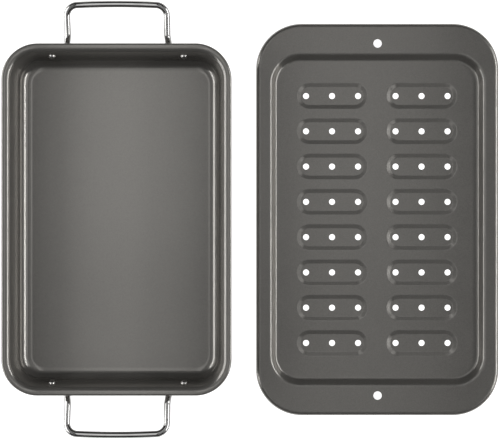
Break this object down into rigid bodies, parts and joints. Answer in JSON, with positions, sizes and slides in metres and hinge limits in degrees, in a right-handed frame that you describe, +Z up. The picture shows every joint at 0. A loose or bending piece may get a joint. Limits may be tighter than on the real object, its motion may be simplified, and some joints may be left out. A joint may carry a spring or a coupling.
{
  "type": "broiler pan",
  "caption": "Rectangular broiler set: a deep pan with a rolled rim and wire end handles, and a flanged tray with drain holes in pressed troughs.",
  "frame": {"origin": "on the table, at the middle of the footprint of the two pieces laid side by side", "axes": "+Z up out of the pan's mouth; +X across both pieces, from the deep pan to the tray; +Y along the pieces, towards the rear handle"},
  "size_m": [0.5263, 0.4572, 0.05],
  "materials": {
    "coated_steel": "warm grey metallic non-stick coating, satin, with a fine sparkle",
    "plated_wire": "bright plated steel wire",
    "rivet_steel": "polished steel"
  },
  "bodies": {
    "root": {"roasting_pan": "coated_steel", "broiler_tray": "coated_steel", "front_handle": "plated_wire", "rear_handle": "plated_wire", "front_left_rivet": "rivet_steel", "front_right_rivet": "rivet_steel", "rear_left_rivet": "rivet_steel", "rear_right_rivet": "rivet_steel"}
  },
  "joints": []
}
